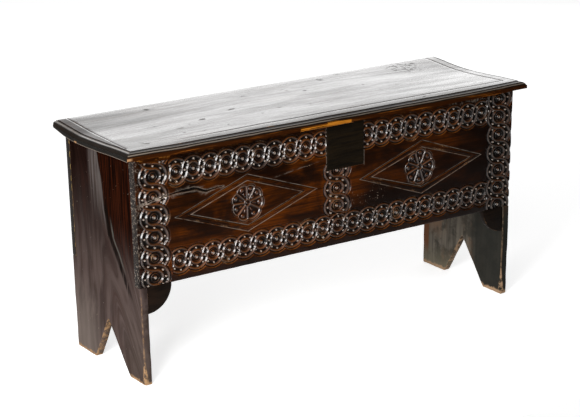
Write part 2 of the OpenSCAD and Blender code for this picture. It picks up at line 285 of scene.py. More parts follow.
def toned(tone, by):
    return tuple(by * c for c in tone)


def tint(colour, tone, *masks):   # lays a tone over a colour, by the product of the masks
    factor = times(*masks)
    return addNode(factor.id_data, "Mix", {0: factor, 6: colour, 7: tone}, data_type="RGBA",
                   clamp_factor=True).outputs[2]


def layered(colour, *layers):   # each layer is a tone and its masks
    for tone, *masks in layers:
        colour = tint(colour, tone, *masks)
    return colour


def emptyTree(owner):
    owner.use_nodes = True
    owner.node_tree.nodes.clear()
    return owner.node_tree


def startMaterial(name):
    material = bpy.data.materials.new(name)
    tree = emptyTree(material)
    shader = addNode(tree, "BsdfPrincipled")
    addNode(tree, "OutputMaterial", {0: shader.outputs[0]})
    return material, shader, addNode(tree, "TexCoord").outputs["Object"]


# The carved front

guilloche = {   # millimetres on the front face; ends are counted in spacings from the first boss
    "topBand": {"x": -400, "z": 451, "pitch": 40.4, "ends": (-0.5, 20.5), "turn": 0, "stretch": 1.05},
    "bottomBand": {"x": -396.6, "z": 259, "pitch": 40.3, "ends": (-0.5, 20.5), "turn": 0, "stretch": 1.0},
    "leftStile": {"x": -456, "z": 450, "pitch": 43.6, "ends": (-0.72, 5.5), "turn": 1, "stretch": 1.15},
    "rightStile": {"x": 460.5, "z": 476, "pitch": 41.8, "ends": (-0.5, 6.3), "turn": 1, "stretch": 1.2},
    "middleBand": {"x": 4, "z": 385, "pitch": 39.8, "ends": (-0.5, 2.5), "turn": 1, "stretch": 1.24},
}
cut = {   # millimetres
    "strandHalf": 7.2, "crestAt": 6.0, "crestHalf": 0.4, "crest": 0.2, "floorHalf": 1.9, "hollow": 4.0,
    "slope": 1.15, "ground": 4.8, "outlineDepth": 3.4, "outlineWall": 1.7, "dip": 2.2, "dipReach": 6.0,
    "boss": 4.6, "ring": 8.8, "ringTop": 2.2, "pearl": 3.1, "pearlStep": 45.0,
    "lozengeLine": 1.9, "lozengeDepth": 2.6, "rosette": 40.0, "petalDepth": 3.0,
    "crack": 1.3, "crackDepth": 4.2, "scratchDepth": 0.9, "joint": 0.2,
    "arris": 1.6, "grid": 0.8, "quickGrid": 1.6, "faces": 180000,
}
lozenges = [   # middle, half width and half height of the outer and the inner lines
    {"x": -228.5, "z": 354, "outer": (172.5, 61), "inner": (145.6, 51)},
    {"x": 236, "z": 354, "outer": (166, 60), "inner": (145, 48)},
]
rosettes = [
    {"x": -228, "z": 353.5, "ribs": (15, 57, 92, 137, 178, 225, 270, 331), "seed": 3},
    {"x": 231, "z": 354.3, "ribs": (20, 64, 108, 155, 199, 246, 290, 335), "seed": 8},
]
stains = [(-0.070, 0.400, 0.030), (0.092, 0.400, 0.036), (0.115, 0.305, 0.070), (0.21, 0.300, 0.050),
          (-0.375, 0.418, 0.045)]   # across, up and reach, m
crack = [(-497, 392.6), (-460, 399), (-418, 404.4), (-391, 410.5), (-361, 412), (-329, 399.6),
         (-289, 402.4)]   # millimetres, as is the scratch
scratch = [(-157, 396.6), (-86, 406.5), (-45, 411.5)]


oakLook = {
    "axis": 0,                       # 0 along X, 1 along Y, 2 along Z
    "deep": (0.010, 0.006, 0.004),   # darkest grain
    "body": (0.036, 0.020, 0.012),
    "warm": (0.085, 0.036, 0.013),   # where the red-brown shows through
    "warmth": 0.5,
    "worn": (0.30, 0.17, 0.085),     # bare wood on rubbed edges
    "wear": 0.35,
    "edge": 2.5,                     # width of the rubbed edges, mm
    "rough": 0.38,
    "roughSpread": 0.16,
    "specular": 0.3,
    "coat": 0.0,
    "coatRough": 0.12,
    "grainBump": 0.35,
    "carving": False,                # reads what makeFront marks, and takes the next five tones
    # a lighter tone on the carving's tops: partly wear, partly a painted highlight
    "crest": (0.042, 0.023, 0.014),
    # near black: grime and painted shade in the carving's hollows, and dark end grain
    "grimeAndShade": (0.0015, 0.0010, 0.0006),
    "litUpward": (0.125, 0.038, 0.006),   # painted light: a warmer, lighter tone where the carving faces up, as if lit from above
    # pale dust and wear, also used for painted highlights on the carving
    "dustAndGlint": (0.13, 0.105, 0.085),
    "bare": (0.30, 0.105, 0.016),
    "bloom": None,                   # heights between which a grey tone in streaks fades out, m
    "bloomTone": (0.13, 0.105, 0.09),
    "sweep": 0.0,                    # how much the grain leans along the left end's line
    "seed": 0.0,
}


def agedOak(name, knots=(), **changes):
    look = {**oakLook, **changes}
    material, shader, coords = startMaterial(name)
    axis, deep, warmth = look["axis"], look["deep"], look["warmth"]
    shift = (look["seed"], look["seed"] * 1.7, look["seed"] * 0.6)

    # the grain runs straight but for a slow drift, and it bends around the knots
    drift = vectors("SUBTRACT", noiseAt(coords, 2.2, 2.0, 0.5, output="Color"), (0.5, 0.5, 0.5))
    bent = vectors("ADD", coords, vectors("SCALE", drift, Scale=0.10))
    if look["sweep"]:
        _, y, z = axes(coords)
        away = scaled(z, -look["sweep"], maths("ADD", y, 0.184))
        leaning = times(maths("SUBTRACT", 0.34, z), spread(sizeOf(away), 0.07, 0.01), look["sweep"])
        bent = vectors("ADD", bent, addNode(treeOf(y), "CombineXYZ", {"Y": leaning}).outputs[0])
    squeeze = [1.0] * 3
    squeeze[axis] = 0.45
    cores = []
    for place, size in knots:
        away = vectors("MULTIPLY", vectors("SUBTRACT", coords, place), squeeze)
        reach = vectors("LENGTH", away)
        near = spread(reach, size * 3.2, 0.0)
        bent = vectors("ADD", bent, vectors("SCALE", away, Scale=times(near, -0.75)))
        cores.append(spread(reach, size, size * 0.35))

    figure = noiseAt(stretched(bent, axis, 1.0, 9.0, shift), 5.0, 7.0, 0.62, 0.4)
    streaks = noiseAt(stretched(bent, axis, 1.2, 42.0, shift), 6.0, 5.0, 0.6)
    pores = noiseAt(stretched(bent, axis, 14.0, 420.0, shift), 3.0, 2.0, 0.5)
    cloud = noiseAt(stretched(coords, axis, 1.0, 1.0, shift), 5.0, 4.0, 0.6)
    fine = noiseAt(coords, 160.0, 3.0, 0.6)

    colour = tint(deep, look["body"], spread(scaled(streaks, 0.55, times(figure, 0.6)), 0.36, 0.82))
    warmMask = spread(scaled(figure, 0.35, times(cloud, 0.75)), 0.62 - 0.25 * warmth, 0.82 - 0.2 * warmth)
    poreMask = spread(pores, 0.60, 0.70)
    colour = layered(colour, (look["warm"], warmMask, warmth), (deep, poreMask, 0.6))
    if cores:
        colour = tint(colour, deep, most(*cores), 0.85)
    if look["bloom"]:   # greyer towards the floor, in streaks
        fade = spread(axes(coords)["Z"], look["bloom"][1], look["bloom"][0])
        strip = spread(noiseAt(stretched(bent, axis, 0.7, 7.0, (5, 3, 1)), 6.0, 4.0, 0.6), 0.36, 0.66)
        colour = tint(colour, look["bloomTone"], fade, scaled(strip, 0.6, 0.4))
    coat = look["coat"]
    if look["carving"]:
        colour, dirtAndShade, rubAndHighlight, polish = carvingTones(colour, coords, cloud, look)
        coat = times(polish, coat)

    rough = scaled(cloud, look["roughSpread"], look["rough"] - 0.5 * look["roughSpread"])
    rough = scaled(poreMask, 0.15, rough, clamp=True)
    if look["wear"] > 0:   # bare wood shows along the arrises, in patches
        rounded = given(coords, "Bevel", 0, inputs={"Radius": look["edge"] * mm}, samples=6)
        turned = vectors("DOT_PRODUCT", given(coords, "NewGeometry", "Normal"), rounded)
        patches = spread(noiseAt(coords, 26.0, 4.0, 0.65), 0.62 - 0.25 * look["wear"], 0.72)
        rubbed = times(spread(turned, 0.995, 0.90), patches)
        colour = tint(colour, look["worn"], rubbed)
        rough = scaled(rubbed, 0.25, rough, clamp=True)
    if look["carving"]:
        rough = scaled(rubAndHighlight, -0.12, rough, clamp=True)
        rough = scaled(dirtAndShade, 0.25, rough, clamp=True)

    height = scaled(poreMask, -0.2, scaled(streaks, 0.6, times(fine, 0.25)))
    if cores:
        height = scaled(most(*cores), 0.5, height)
    bump = bumpOf(height, look["grainBump"], 0.6)
    feed(shader, {"Base Color": colour, "Roughness": rough, "Normal": bump, "Coat Normal": bump,
                  "Specular IOR Level": look["specular"], "Coat Weight": coat,
                  "Coat Roughness": look["coatRough"]})
    return material, shader, colour, coords


def bumpOf(height, strength, distance):   # millimetres
    return addNode(height.id_data, "Bump", {"Height": height, "Strength": strength,
                                            "Distance": distance * mm}).outputs[0]


def insideDry(colour, coords, grain, axis, side, tone):   # faces that were never polished
    facing = axes(given(coords, "TexCoord", "Normal"))[axis]
    cloud = noiseAt(stretched(coords, grain, 0.6, 1.6), 14.0, 5.0, 0.66, 0.5)
    streaks = noiseAt(stretched(coords, grain, 1.0, 12.0), 8.0, 5.0, 0.6)
    dry = tint(toned(tone, 0.45), tone, spread(streaks, 0.35, 0.65))
    dry = tint(dry, (0.13, 0.065, 0.030), spread(cloud, 0.50, 0.72, 0.0, 0.8))
    return tint(colour, dry, spread(times(facing, side), 0.6, 0.9))


def endGrain(coords):   # 1 on the faces at a plank's ends
    return spread(sizeOf(axes(given(coords, "NewGeometry", "True Normal"))["X"]), 0.93, 0.97)


def carvingTones(colour, coords, cloud, look):   # gives the colour, the dirt with its painted shade, the rub with its painted highlight, and the polish
    x, _, z = axes(coords)
    dirtAndShade, rubAndHighlight, arris, carved = (marked(coords, name) for name in ("dirtAndShade", "rubAndHighlight", "arris", "carved"))
    dustAndGlint, paleDust = look["dustAndGlint"], toned(look["dustAndGlint"], 1.8)
    litUpward = axes(given(coords, "NewGeometry", "Normal"))["Z"]
    broken = spread(noiseAt(coords, 60.0, 3.0, 0.6), 0.30, 0.55)
    clean = maths("SUBTRACT", 1.0, dirtAndShade)
    sideways = endGrain(coords)
    specks = spread(noiseAt(coords, 230.0, 3.0, 0.7), 0.56, 0.64)
    margin = spread(x, -0.481, -0.486, 0.0, 0.6)
    splitLine = scaled(x, -0.17, maths("ADD", z, -0.4765))
    patchSides = most(window(x, patchLow.x - 0.0018, patchLow.x, 0.0005),
                      window(x, patchHigh.x, patchHigh.x + 0.0018, 0.0005))
    colour = layered(
        panelTones(colour, coords, look),
        # partly wear, partly a painted highlight on the carving's tops
        (look["crest"], rubAndHighlight, 0.75),
        # grime and painted shade: near black deep in the carving and in the lines, crack and scratch
        (look["grimeAndShade"], dirtAndShade, 0.95),
        # painted light: warmer where the carving faces up, as if lit from above
        (look["litUpward"], spread(litUpward, 0.22, 0.52), spread(cloud, 0.25, 0.6), scaled(dirtAndShade, -0.75, 0.8)),
        # pale dust and wear on the arrises; on the lozenge edges and the tops it is also a painted highlight
        (dustAndGlint, most(arris, lozengeArris(coords)), clean, broken),
        (toned(dustAndGlint, 1.9), spread(arris, 0.55, 0.74), carved, 0.8),   # painted highlight: pale glints on the tops of the pearls and bosses
        (look["grimeAndShade"], sideways),
        (look["deep"], margin),
        (toned(dustAndGlint, 1.6), most(sideways, margin), specks),
        (paleDust, window(splitLine, -0.003, 0.003, 0.003), window(x, -0.488, -0.425, 0.010),
         spread(noiseAt(coords, 130.0, 3.0, 0.6), 0.44, 0.56)),
        (dustAndGlint, patchSides, spread(z, patchLow.z - 0.004, patchLow.z), broken, 0.7),
        (paleDust, spread(noiseAt(coords, 280.0, 2.0, 0.5), 0.66, 0.72),   # nicks
         window(x, 0.045, 0.135, 0.01), window(z, 0.296, 0.332, 0.008)),
        (look["bare"], spread(noiseAt(stretched(coords, 0, 0.5, 1.0), 75.0, 4.0, 0.65), 0.50, 0.60),
         spread(z, 0.482, 0.491), spread(x, -0.30, -0.44, 0.25, 1.0)),
    )
    ledge = spread(sizeOf(litUpward), 0.20, 0.50, 0.0, 0.75)   # wax and dust hold there
    dull = most(spread(dirtAndShade, 0.45, 0.95), sideways, ledge)
    polish = times(spread(carved, 0.2, 0.9, 0.08, 1.0), maths("SUBTRACT", 1.0, dull))
    return colour, dirtAndShade, rubAndHighlight, polish


def panelTones(colour, coords, look):   # the flat of the front: mottled, glowing in the left lozenge
    x, _, z = axes(coords)
    mottle = noiseAt(stretched(coords, 0, 0.45, 1.0), 13.0, 5.0, 0.62, 0.6)
    fine = noiseAt(stretched(coords, 0, 7.0, 260.0), 1.0, 4.0, 0.65)
    grit = noiseAt(stretched(coords, 2, 0.4, 1.0), 260.0, 3.0, 0.6)
    dark = [spread(mottle, 0.56, 0.40, 0.0, 0.85), spread(z, 0.240, 0.226, 0.0, 0.85),
            spread(z, 0.474, 0.484, 0.0, 0.45),
            times(spread(x, 0.0, 0.12), spread(mottle, 0.62, 0.40, 0.45, 0.95))]
    for across, up, reach in stains:
        away = vectors("DISTANCE", coords, (across, frontLow.y, up))
        dark.append(spread(away, reach, 0.35 * reach, 0.0, 0.9))
    return layered(
        colour,
        (look["deep"], spread(fine, 0.56, 0.38, 0.0, 0.7)),
        (look["warm"], spread(lozengeStep(coords, lozenges[0], "outer"), 0.2, -0.4),
         spread(mottle, 0.35, 0.6), spread(fine, 0.35, 0.6, 0.4, 1.3), 0.6),
        (look["deep"], most(*dark)),
        (look["dustAndGlint"], window(x, 0.32, 0.475, 0.02), window(z, 0.480, 0.489, 0.003),   # torn edge
         spread(grit, 0.46, 0.60)),
    )


def lozengeStep(coords, lozenge, name):   # -1 in its middle, 0 on the line
    x, _, z = axes(coords)
    w, h = lozenge[name]
    x, z = (sizeOf(maths("SUBTRACT", value, lozenge[key] * mm)) for value, key in ((x, "x"), (z, "z")))
    return scaled(x, 1 / (w * mm), scaled(z, 1 / (h * mm), -1.0))


def lozengeArris(coords):   # a pale line along each lozenge, outside its outer and inside its inner line: a worn arris with a painted highlight
    lines = []
    for lozenge in lozenges:
        for name, outside in (("outer", 1), ("inner", -1)):
            w, h = lozenge[name]
            flank = 1 / math.hypot(1 / w, 1 / h)   # millimetres for a whole step
            away = sizeOf(scaled(lozengeStep(coords, lozenge, name), flank, -cut["lozengeLine"] * outside))
            lines.append(spread(away, 1.0, 0.3))
    return most(*lines)


def forgedIron():
    material, shader, coords = startMaterial("forgedIron")
    grit = noiseAt(coords, 220.0, 6.0, 0.7)
    rust = spread(noiseAt(coords, 70.0, 5.0, 0.6), 0.48, 0.66)
    colour = tint((0.018, 0.016, 0.015), (0.05, 0.045, 0.042), grit)
    feed(shader, {"Base Color": tint(colour, (0.085, 0.036, 0.018), rust), "Metallic": 0.7,
                  "Roughness": spread(rust, 0, 1, 0.45, 0.8), "Normal": bumpOf(grit, 0.5, 0.3)})
    return material


# The coffer's shape, read from the frame
lidLow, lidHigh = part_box("lid_board")
frontLow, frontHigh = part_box("front_board")
backLow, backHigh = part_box("back_board")
leftLow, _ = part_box("left_end_board")
bottomLow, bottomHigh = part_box("bottom_board")
patchLow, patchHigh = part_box("lock_patch")
slipLow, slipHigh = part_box("rim_slip")

coffer = {
    "endLean": 0.009,        # how far each end leans in at the floor
    "endThick": 0.017,
    "frontFoot": 0.064,      # widths of the feet at the floor
    "backFoot": 0.082,
    "vTop": (0.147, 0.106),  # top of the V cut: back from the front face, up from the floor
    "bracketRadius": 0.059,
    "bracketThick": 0.015,
    "cup": 0.0068,           # how far the lid and the tops of the ends sag in mid depth
    "rows": 0.006,           # between rows of points on the ends
    "quickRows": 0.012,
}
rimZ = frontHigh.z
lean = coffer["endLean"] / rimZ


def leanIn(x, z):   # moves a point of an upright plank in, as the ends lean
    return x * (1 - (rimZ - z) * lean / abs(leftLow.x))


def cupSag(y):   # how the lid's ends and the rims under them hollow from front to back
    return -coffer["cup"] * smooth(-0.165, 0.03, y) * smooth(0.17, 0.045, y)


# The carved front's relief

def dome(distance, radius):   # 1 in the middle of a round bead, 0 at its edge
    return np.sqrt(np.clip(1 - (distance / radius) ** 2, 0, 1))


def strandDepth(offset):   # across a strand: a raised border on each side of a hollow
    away = np.abs(offset)
    start = cut["crestAt"] - cut["crestHalf"]
    bowl = np.clip((start - away) / (start - cut["floorHalf"]), 0, 1)
    outward = np.clip(away - cut["crestAt"] - cut["crestHalf"], 0, None)
    return cut["crest"] + (cut["hollow"] - cut["crest"]) * bowl + cut["slope"] * outward


def interlace(band, x, z, seed):   # one band: its depth, zone, carved share and pale tops, which take a painted highlight
    pitch, stretch = band["pitch"], band["stretch"]
    u, v = (x - band["x"], z - band["z"]) if band["turn"] == 0 else (band["z"] - z, x - band["x"])
    u = u + 1.0 * waver(x, z, 46, seed)
    v = v + 1.0 * waver(x, z, 46, seed + 1)
    chance = np.random.default_rng(seed + 2)
    grow = chance.uniform(0.92, 1.06, 40)
    pearlTurn = chance.uniform(-5, 5, 40)
    outer = pitch / 2 + cut["strandHalf"]
    inner = pitch / 2 - cut["strandHalf"]
    k = np.floor(u / pitch).astype(int)

    def about(i):   # offsets from boss i, and the arch radius there
        du = u - i * pitch
        return du, np.hypot(du, v / stretch)

    upper = v > 0
    first, second = np.where(upper, k + 1, k), np.where(upper, k, k + 1)
    du1, r1 = about(first)
    du2, r2 = about(second)
    covers = r1 <= outer
    i = np.where(covers, first, second)
    du, r = np.where(covers, du1, du2), np.where(covers, r1, r2)
    depth = strandDepth(r - pitch / 2)

    # pearls stand in the hollow
    turnOf = pearlTurn[i % 40]
    angle = np.degrees(np.arctan2(v / stretch, du))
    nearest = np.round(angle / cut["pearlStep"]) * cut["pearlStep"]
    along = np.radians(nearest + turnOf * (nearest % 180 != 0) - angle) * r
    pearlOf = (i * 3 + (nearest / cut["pearlStep"]).astype(int)) % 40
    bead = dome(np.hypot(along, r - pitch / 2), cut["pearl"] * grow[pearlOf])
    depth = np.where(bead > 0, np.minimum(depth, cut["hollow"] + 0.3 - 3.7 * bead), depth)

    # the eye: a boss in a raised ring, on the deep ground
    ground = cut["ground"] + 0.3 * waver(x, z, 4, seed + 3)
    wall = cut["crest"] + cut["slope"] * (cut["strandHalf"] - cut["crestAt"] - cut["crestHalf"])
    flat = np.hypot(du, v)
    ring = cut["ring"] * grow[i % 40]
    ringTop = cut["ringTop"] + np.maximum(3.0 * (ring - 0.4 - flat), 2.4 * (flat - ring - 0.4)).clip(0)
    bossTop = 0.4 + 3.6 * (1 - dome(flat, cut["boss"] * grow[(i + 7) % 40] * 1.1))
    eyeDepth = np.minimum(np.minimum(ground, wall + cut["slope"] * (inner - r)), np.minimum(ringTop, bossTop))
    depth = np.where(r < inner, eyeDepth, depth)

    # a strand dips where the next one lies over it
    gap = np.where((~covers) & (r2 <= outer), r1 - outer, 99)
    dip = cut["dip"] * np.clip(1 - gap / cut["dipReach"], 0, 1) ** 2
    depth = np.minimum(depth + dip, np.where(gap < 9, wall + cut["slope"] * gap, 99))

    # a groove follows the arches, then comes the plain face
    beyond = np.minimum(r1, r2) - outer
    floorWidth = (cut["outlineDepth"] - wall) / cut["slope"] + 0.5
    rise = cut["outlineDepth"] * (1 - (beyond - floorWidth) / cut["outlineWall"])
    groove = np.minimum(np.minimum(wall + cut["slope"] * beyond, cut["outlineDepth"]), rise)
    depth = np.where(beyond > 0, np.clip(groove, 0, None), np.minimum(depth, ground))

    low, high = band["ends"]
    toEnd = np.minimum(u - low * pitch, high * pitch - u)
    zone = (toEnd > 0) & (beyond < floorWidth + cut["outlineWall"])
    share = zone * smooth(floorWidth + 1.2, floorWidth - 0.4, beyond) * smooth(0, 2, toEnd)
    # the tops of bosses and pearls, where a painted highlight goes
    glintTops = np.where(r < inner, smooth(0.6, 0.95, dome(flat, cut["boss"])), smooth(0.45, 0.85, bead))
    return np.where(zone, depth * smooth(0, 1.5, toEnd), 0), zone, share, glintTops * (beyond <= 0)


def lineDistance(x, z, a, b, over=0.0):   # and how far along the line, 0 to 1
    a, b = np.array(a, float), np.array(b, float)
    way = (b - a) / np.linalg.norm(b - a)
    a, b = a - way * over, b + way * over
    length = np.linalg.norm(b - a)
    t = np.clip((x - a[0]) * way[0] + (z - a[1]) * way[1], 0, length)
    return np.hypot(x - a[0] - t * way[0], z - a[1] - t * way[1]), t / length


def lozengeLines(x, z):   # depth of the pairs of lines
    depth = np.zeros_like(x)
    bend = 0.25 * waver(x, z, 45, 71)
    for lozenge in lozenges:
        for name, over in (("outer", 4.0), ("inner", 2.5)):
            w, h = lozenge[name]
            corners = [(lozenge["x"] - w, lozenge["z"]), (lozenge["x"], lozenge["z"] + h),
                       (lozenge["x"] + w, lozenge["z"]), (lozenge["x"], lozenge["z"] - h)]
            for a, b in zip(corners, corners[1:] + corners[:1]):
                away, t = lineDistance(x + bend, z + bend, a, b, over)
                ends = smooth(0, 0.03, np.minimum(t, 1 - t))
                groove = np.clip(1 - away / cut["lozengeLine"], 0, 1) * cut["lozengeDepth"]
                depth = np.maximum(depth, groove * (0.3 + 0.7 * ends))
    return depth


def rosetteCut(rose, x, z):   # one rosette: the same four
    dx, dz = x - rose["x"], z - rose["z"]
    r = np.hypot(dx, dz)
    chance = np.random.default_rng(rose["seed"])
    reach = chance.uniform(0.95, 1.03, 8) * cut["rosette"]
    angle = np.degrees(np.arctan2(dz, dx)) % 360
    ribs = np.array(rose["ribs"], float)
    k = (np.searchsorted(ribs, angle, side="right") - 1) % 8
    width = (ribs[(k + 1) % 8] - ribs[k]) % 360
    t = ((angle - ribs[k]) % 360) / width          # 0 to 1 across a petal
    half = np.radians(width / 2) * r               # half the petal's width here
    side = (1 - np.abs(2 * t - 1)) * half          # distance from the nearer rib
    rim = reach[k] * (0.84 + 0.16 * np.sqrt(np.clip(1 - (2 * t - 1) ** 2, 0, 1)))
    within = np.minimum(np.minimum(side - 0.35, rim - r - 0.8), (r - 7.0) * 0.8)
    bowl = np.sin(np.clip(within / 3.4, 0, 1) * math.pi / 2)
    depth = 0.35 + cut["petalDepth"] * bowl
    mid = (2 * t - 1) * half
    tipBead = dome(np.hypot(mid * 0.8, r - reach[k] * 0.78), 4.2)
    baseBead = dome(np.hypot(mid * 1.1, (r - reach[k] * 0.45) * 0.5), 2.4)
    depth = depth - bowl * (2.7 * tipBead + 2.2 * baseBead)
    eye = 0.5 + 3.4 * smooth(6.6, 4.8, r) - 2.6 * dome(np.hypot(dx + 0.7, dz + 0.8), 2.9)
    depth = np.where(r < 6.8, eye, depth)
    nick = np.minimum(1.7 * (r - rim), 2.8 - 1.4 * np.clip(r - rim - 2.0, 0, None))
    depth = np.where(r > rim, np.clip(nick, 0, None), depth)
    # the last share marks the rims and beads near the face, for a painted highlight
    return depth, r < rim + 4.0, 0.8 * smooth(rim + 2.4, rim + 1.0, r), 0.6 * smooth(1.4, 0.4, depth)


def awayFrom(x, z, corners):   # distance from a line through these corners
    return np.minimum.reduce([lineDistance(x, z, a, b)[0] for a, b in zip(corners, corners[1:])])


def frontRelief(x, z):   # in millimetres; gives the depth, the carved share and the pale arrises, which include the tops that take a painted highlight
    depth = np.maximum(0.22 * waver(x, z * 1.6, 60, 5) + 0.10 * waver(x, z * 3, 22, 6) + 0.35, 0)
    carved, glintTops = np.zeros_like(x), np.zeros_like(x)
    depth = np.maximum(depth, lozengeLines(x, z))
    cuts = [rosetteCut(rose, x, z) for rose in rosettes]
    for number, name in enumerate(("topBand", "bottomBand", "middleBand", "leftStile", "rightStile")):
        cuts.append(interlace(guilloche[name], x, z, 20 + 10 * number))
    for d, inside, share, top in cuts:
        depth, carved = np.where(inside, np.maximum(d, 0.1), depth), np.maximum(carved, share)
        glintTops = np.where(inside, top, glintTops)
    wander = z + 1.2 * waver(x, z, 14, 9)
    wide = cut["crack"] + 2.2 * np.exp(-((x + 365) / 42) ** 2) + 0.6 * smooth(-420, -440, x)
    fromCrack = awayFrom(x, wander + 1.5 * (wide - cut["crack"]), crack)
    gape = np.clip((wide - fromCrack) / 0.8, 0, 1)
    depth = np.maximum(depth, cut["crackDepth"] * gape)
    depth = np.maximum(depth, cut["scratchDepth"] * np.clip(1 - awayFrom(x, z, scratch), 0, 1))
    arris = np.clip(1.5 - np.abs(fromCrack - wide) / 0.9, 0, 1) * (1 - gape)
    arris = np.maximum(arris, 0.8 * np.clip(1 - awayFrom(x, z - 1.0, scratch) / 1.1, 0, 1))
    return depth, carved, np.maximum(arris, 0.75 * glintTops)


def makeFront():
    step = cut["grid"]
    size = (frontHigh - frontLow) / mm
    plank = addGrid("frontBoard", int(size.x / step), int(size.z / step))
    co = points(plank)   # x, y from -0.5 to 0.5
    z = frontLow.z + (co[:, 1] + 0.5) * (frontHigh.z - frontLow.z)
    x = leanIn(co[:, 0] * (frontHigh.x - frontLow.x), z)
    depth = frontRelief(x / mm, z / mm)[0]
    inset = np.minimum(np.minimum(z - frontLow.z, frontHigh.z - z), abs(leanIn(frontHigh.x, z)) - abs(x)) / mm
    ragged = cut["arris"] * (1 + 0.35 * waver(x / mm, z / mm, 9, 15))
    near = np.clip(1 - inset / ragged, 0, 1)
    depth = depth + ragged * (1 - np.sqrt(np.clip(1 - near ** 2, 0, 1)))
    movePoints(plank, np.column_stack([x, frontLow.y + depth * mm, z]))
    startEdit(plank)
    bpy.ops.mesh.region_to_loop()
    bpy.ops.mesh.extrude_region_move(TRANSFORM_OT_translate={"value": (0, 1, 0)})
    endEdit()
    co = points(plank)
    co[co[:, 1] > frontHigh.y + 0.1, 1] = frontHigh.y
    rim = co[:, 2] > frontHigh.z - 0.0003   # it follows the cupped lid
    co[:, 2] += np.where(rim, cupSag(co[:, 1]) * smooth(0.15, 0.5, np.abs(co[:, 0])), 0)
    movePoints(plank, co)
    bpy.ops.object.mode_set(mode="EDIT")
    bpy.ops.mesh.edge_face_add()   # the back face, on the loop that is still selected
    faceOutward()
    faces = sum(len(face.vertices) - 2 for face in plank.data.polygons)
    if faces > cut["faces"]:
        co = points(plank)
        keep = frontRelief(co[:, 0] / mm, co[:, 2] / mm)[2] > 0.01
        group = plank.vertex_groups.new(name="thin")
        group.add(np.flatnonzero(~keep).tolist(), 1.0, "REPLACE")
        shape(plank, "DECIMATE", ratio=cut["faces"] / faces, use_collapse_triangulate=True,
              vertex_group="thin", vertex_group_factor=1.0)
    gap, past = cut["joint"] * mm, 0.01   # the cutters reach past the plank
    for name, low, high in (("patchCutter", patchLow, patchHigh), ("slipCutter", slipLow, slipHigh)):
        cutAway(plank, block(name, (low.x - gap, frontLow.y - past, low.z - gap),
                             (high.x + gap, high.y, frontHigh.z + past)))
    co = points(plank)
    depth = (co[:, 1] - frontLow.y) / mm
    _, carved, arris = frontRelief(co[:, 0] / mm, co[:, 2] / mm)
    face = depth < 7   # not on the sides or the back
    inLine = smooth(0.9, 1.8, depth) * (1 - carved)
    # dirt and painted shade: darker with depth in the carving, and in the lozenge lines, crack and scratch
    markPoints(plank, "dirtAndShade", np.where(face, np.maximum(smooth(1.0, 3.3, depth) * carved, inLine), 0))
    # the carving's tops: worn, and given a painted highlight in the colour
    markPoints(plank, "rubAndHighlight", np.where(face, carved * smooth(0.9, 0.3, depth), 0))
    # pale arrises of the crack and scratch, and the tops that take a painted highlight
    markPoints(plank, "arris", np.where(face, arris, 0))
    markPoints(plank, "carved", carved)
    smoothLook(plank, 50)
    shape(plank, "WEIGHTED_NORMAL", mode="FACE_AREA", weight=50, keep_sharp=True)
    return plank


front = makeFront()
print("front board:", len(front.data.polygons), "faces")
dryTone = (0.075, 0.052, 0.034)   # the inner sides of the front and the back
frontOak, frontShader, frontColour, frontCoords = agedOak(
    "frontOak", carving=True, seed=1.3, warmth=0.8, wear=0.2, rough=0.36, specular=0.08, coat=0.85,
    coatRough=0.15, grainBump=0.2, deep=(0.0035, 0.0010, 0.0002), body=(0.017, 0.0040, 0.0002),
    warm=(0.100, 0.0220, 0.0004))
feed(frontShader, {"Base Color": insideDry(frontColour, frontCoords, 0, "Y", 1, dryTone)})
finishPiece(front, "carcase", "front_oak", frontOak, "front_board")


# The lid

lidCut = {   # millimetres
    "moulding": 15, "drop": 9, "radius": 15, "step": 1.2, "groove": 6.0, "quirk": 3, "quirkDepth": 3.2,
    "line": 39, "lineWidth": 1.2, "lineFront": 19, "droop": 2.4, "backWear": 6, "cornerRound": 14,
}


def lidProfile(d, scratched=1.0):   # height of the lid's top below its highest plane, d mm in from the edge
    rise = np.sqrt(np.clip(lidCut["radius"] ** 2 - (lidCut["moulding"] - d) ** 2, 0, None)) - 6
    curve = -lidCut["drop"] + np.clip(rise, 0, None) - lidCut["step"] * smooth(3, 12, d)
    curve = curve - 0.8 * np.clip(1 - np.abs(d - lidCut["groove"]) / 0.8, 0, 1)
    height = np.where(d < lidCut["moulding"], curve, 0)
    middle = lidCut["moulding"] + lidCut["quirk"] / 2
    quirk = lidCut["quirkDepth"] * np.clip(1 - (np.abs(d - middle) / (lidCut["quirk"] / 2)) ** 4, 0, 1)
    line = np.clip(1 - np.abs(d - lidCut["line"] - lidCut["lineWidth"] / 2) / lidCut["lineWidth"], 0, 1)
    return np.minimum(height, -quirk) - scratched * line


